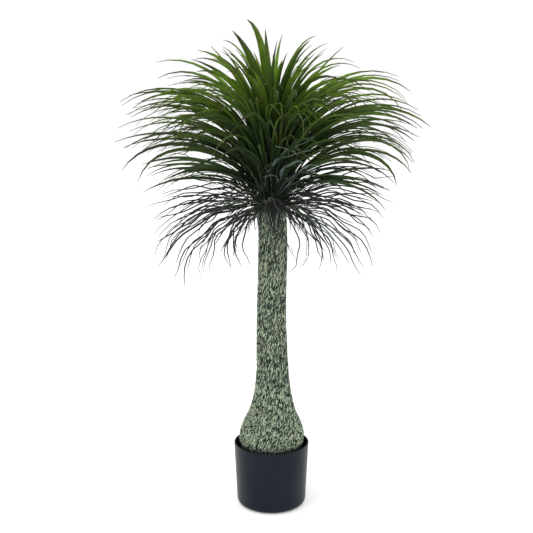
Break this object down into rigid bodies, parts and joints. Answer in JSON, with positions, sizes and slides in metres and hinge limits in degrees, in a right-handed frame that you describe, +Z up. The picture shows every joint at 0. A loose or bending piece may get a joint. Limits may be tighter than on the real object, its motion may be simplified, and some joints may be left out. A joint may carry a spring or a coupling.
{
  "type": "potted yucca",
  "caption": "Standing potted plant: a furrowed trunk with a swollen foot carries a fountain of arching strap leaves over a dark skirt of dry strands, in a plain round pot.",
  "frame": {"origin": "centre of the pot's flat underside", "axes": "+Z up along the trunk, -Y towards the viewer of the picture"},
  "size_m": [0.7622, 0.6719, 1.1883],
  "materials": {
    "pot": "satin black",
    "soil": "crumbly, matte",
    "bark": "rough corky ridges over dark furrows",
    "leaf": "soft satin leaf skin",
    "dry_leaf": "dry, matte"
  },
  "bodies": {
    "root": {"pot": "pot", "potting_soil": "soil", "trunk": "bark", "leaf_head": "leaf", "dry_skirt": "dry_leaf"}
  },
  "joints": []
}
